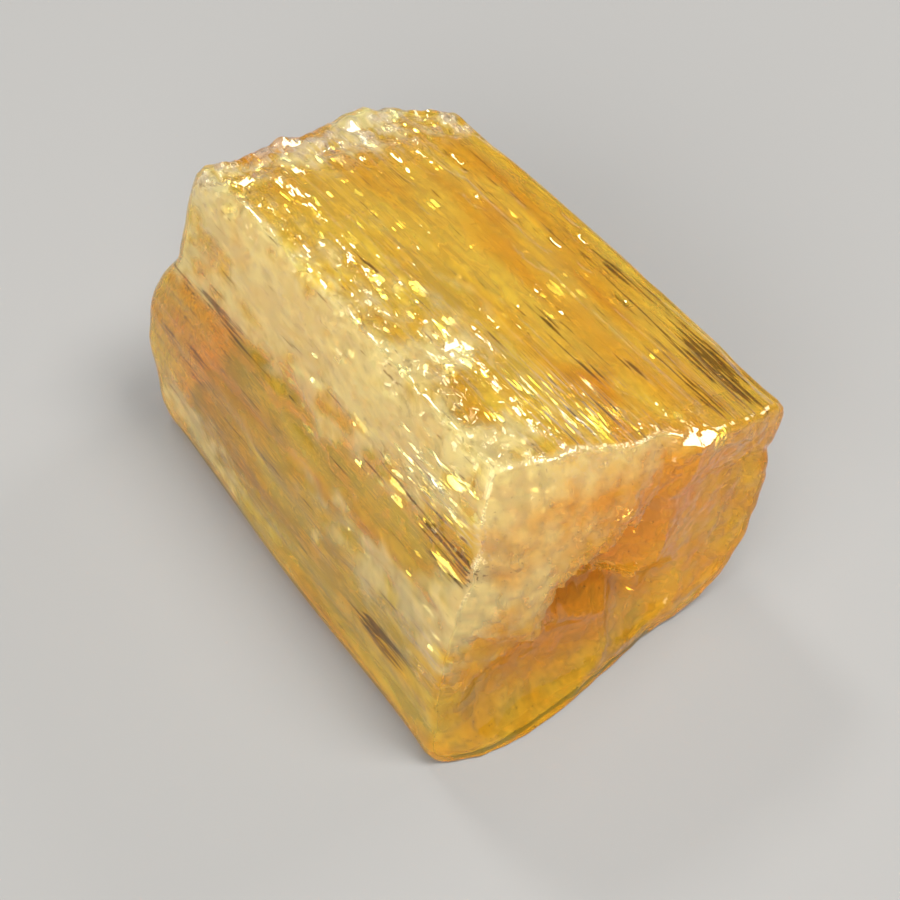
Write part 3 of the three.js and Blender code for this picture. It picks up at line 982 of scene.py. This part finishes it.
# Low on the break the skin is cloudier, and at the lower rim paler too: a painted glow where light leaves the
# stone.
break_cover = break_cover + LOW_COVER * ramp(0.25, 0.05, skin_up)
side_cover = side_cover * (1 - skin_broken) + skin_broken * break_cover
# The paler, fully cloudy lower rim is a painted glow.
low_rim = skin_broken * ramp(0.14, 0.04, skin_up)
skin_milk = np.maximum(milkiness(skin_places, skin_zones), PAINTED_RIM_GLOW * low_rim)
paint(skin, "milk", skin_milk)
skin_deep = np.maximum(ramp(0.15, 0, skin_up) * (1 - skin_broken), BREAK_DEPTH * skin_broken)
paint(skin, "deep", np.maximum(skin_deep, patches(skin_places, HOLLOW_GLOWS)))
milk_cover = (0.95 - 0.2 * skin_broken) * skin_milk
skin_cover = np.maximum(np.maximum(side_cover, milk_cover), low_rim)
paint(skin, "cover", uneven(skin_places, skin_cover, CLOUD_SIZE, CLOUD_STRETCH))

# %% Veil sheets
VEIL_CELLS = 60
VEIL_CLEARANCE = 0.15
VEIL_WAVE_SPACING = 0.35
VEIL_COVER = 0.9
# Each row is a name, four corners as shares across, up and along, how far the sheet waves, and how milky and
# how deep in colour it is. The last one is the wall of the crack that opens at the ledge of the break.
VEILS = [
    ("veil_middle", (0.20, 0.60, 0.1), (0.15, 0.55, 0.95), (0.92, 0.66, 0.1), (0.95, 0.60, 0.9), 0.8, 0, 0),
    ("veil_break", (0.10, 0.03, 0.10), (0.90, 0.03, 0.08), (0.25, 0.80, 0.10), (0.85, 0.85, 0.08), 0.6, 0, 1),
    ("veil_ledge", (0.26, 0.54, 0.01), (0.26, 0.50, 0.07), (0.66, 0.33, 0.01), (0.66, 0.30, 0.07), 0.1, 1, 0),
]


def veil_sheet(corners, wave, seed):
    """A wavy sheet between four corners."""
    low_start, low_end, high_start, high_end = (np.array(corner) for corner in corners)
    made = bmesh.new()
    bmesh.ops.create_grid(made, x_segments=VEIL_CELLS, y_segments=VEIL_CELLS, size=0.5)
    first, second = np.array([vertex.co[:2] for vertex in made.verts]).T[:, :, None] + 0.5
    low = low_start * (1 - second) + low_end * second
    high = high_start * (1 - second) + high_end * second
    places = inside_places(low * (1 - first) + high * first)
    scaled = (places * VEIL_WAVE_SPACING).T + seed
    swings = [noise_at(scaled[0], scaled[1] + 9 * at, scaled[2]) for at in range(3)]
    put(made, places + wave * np.stack(swings, axis=1) * (1, 0.3, 1))
    keep_inside(made, VEIL_CLEARANCE)
    return made


for at, (name, *corners, wave, milky, deep) in enumerate(VEILS):
    veil = mesh_piece(name, veil_sheet(corners, wave, 10 * at + 3), film)
    veil_places = np.array([vertex.co[:] for vertex in veil.data.vertices]) / MM
    for zone, share in (("milk", milky), ("deep", deep)):
        paint(veil, zone, np.full(len(veil_places), share))
    paint(veil, "cover", uneven(veil_places, np.full(len(veil_places), VEIL_COVER), 0.8, 2))
print("veils:", len(VEILS))

# %% [markdown]
# ## Floor
#
# The stone lies on a plain pale floor. It is only a stage, and not part of the object.

# %% Floor
FLOOR_SIZE = 0.6
FLOOR_COLOUR = (0.225, 0.22, 0.21, 1)
FLOOR_ROUGHNESS = 0.9

floor_mesh = bmesh.new()
bmesh.ops.create_grid(floor_mesh, x_segments=2, y_segments=2, size=FLOOR_SIZE)
floor_data = bpy.data.meshes.new("floor")
floor_mesh.to_mesh(floor_data)
floor_mesh.free()
floor = bpy.data.objects.new("floor", floor_data)
bpy.context.scene.collection.objects.link(floor)
paper = bpy.data.materials.new("pale_floor")
paper.use_nodes = True
paper_shader = paper.node_tree.nodes["Principled BSDF"]
paper_shader.inputs["Base Color"].default_value = FLOOR_COLOUR
paper_shader.inputs["Roughness"].default_value = FLOOR_ROUGHNESS
floor_data.materials.append(paper)

print("floor, m:", 2 * FLOOR_SIZE, "square")

# %% [markdown]
# ## Light
#
# Clear stone shows what is around it, so soft lamps stand on several sides, large for how near they are. The
# key lamp makes the flashes, the lamps on the left light the milky ridge and the long left side, and a faint
# white surround fills the rest.

# %% Light
# Each row is a name, the place and size in metres, and the power in watts.
LAMPS = [
    ("key_lamp", (0.12, -0.12, 0.36), 0.14, 1.8), ("top_lamp", (-0.12, -0.05, 0.42), 0.24, 0.9),
    ("left_lamp", (-0.34, -0.17, 0.17), 0.34, 1.5), ("front_left_lamp", (-0.27, -0.29, 0.16), 0.30, 1.5),
    ("right_lamp", (0.33, 0.04, 0.22), 0.12, 0.5), ("back_lamp", (0.03, 0.18, 0.24), 0.05, 0.3),
]
SURROUND = 0.12
SURROUND_COLOUR = (1.0, 1.0, 1.0, 1)
middle = Vector((0, 0, 5 * MM))


def soft_lamp(name, place, size, power):
    """A square soft lamp, aimed at the middle of the stone."""
    lamp = bpy.data.lights.new(name, "AREA")
    lamp.size = size
    lamp.energy = power
    made = bpy.data.objects.new(name, lamp)
    made.location = place
    made.rotation_euler = (middle - Vector(place)).to_track_quat("-Z", "Y").to_euler()
    bpy.context.scene.collection.objects.link(made)


for row in LAMPS:
    soft_lamp(*row)
world = bpy.data.worlds.new("studio")
bpy.context.scene.world = world
world.use_nodes = True
world.node_tree.nodes["Background"].inputs["Color"].default_value = SURROUND_COLOUR
world.node_tree.nodes["Background"].inputs["Strength"].default_value = SURROUND
print("lamps:", len(LAMPS))

# %% [markdown]
# ## Camera
#
# The camera looks down on the fresh break from its left, with a long lens, so that the lines of the prism draw
# together only a little. The light may be bent and mirrored often enough to cross the stone and come back.

# %% Camera
CAMERA_PLACE = Vector((-24.1, -35.5, 47.84)) * MM
CAMERA_TILT = math.radians(47)
CAMERA_TURN = math.radians(34.5)
LENS = 75
SENSOR = 36

camera_data = bpy.data.cameras.new("camera")
camera_data.lens = LENS
camera_data.sensor_width = SENSOR
camera_data.clip_start = 0.001
camera_data.clip_end = 10
camera = bpy.data.objects.new("camera", camera_data)
camera.location = CAMERA_PLACE
view_line = Vector((
    math.cos(CAMERA_TILT) * math.sin(CAMERA_TURN),
    math.cos(CAMERA_TILT) * math.cos(CAMERA_TURN),
    -math.sin(CAMERA_TILT),
))
camera.rotation_euler = view_line.to_track_quat("-Z", "Y").to_euler()
bpy.context.scene.collection.objects.link(camera)
bpy.context.scene.camera = camera

scene = bpy.context.scene
scene.view_settings.view_transform = "Standard"
scene.cycles.use_light_tree = False
scene.cycles.max_bounces = 7
scene.cycles.diffuse_bounces = 2
scene.cycles.glossy_bounces = 3
scene.cycles.transmission_bounces = 7
scene.cycles.transparent_max_bounces = 8
print("camera, mm:", [round(value / MM, 1) for value in CAMERA_PLACE])
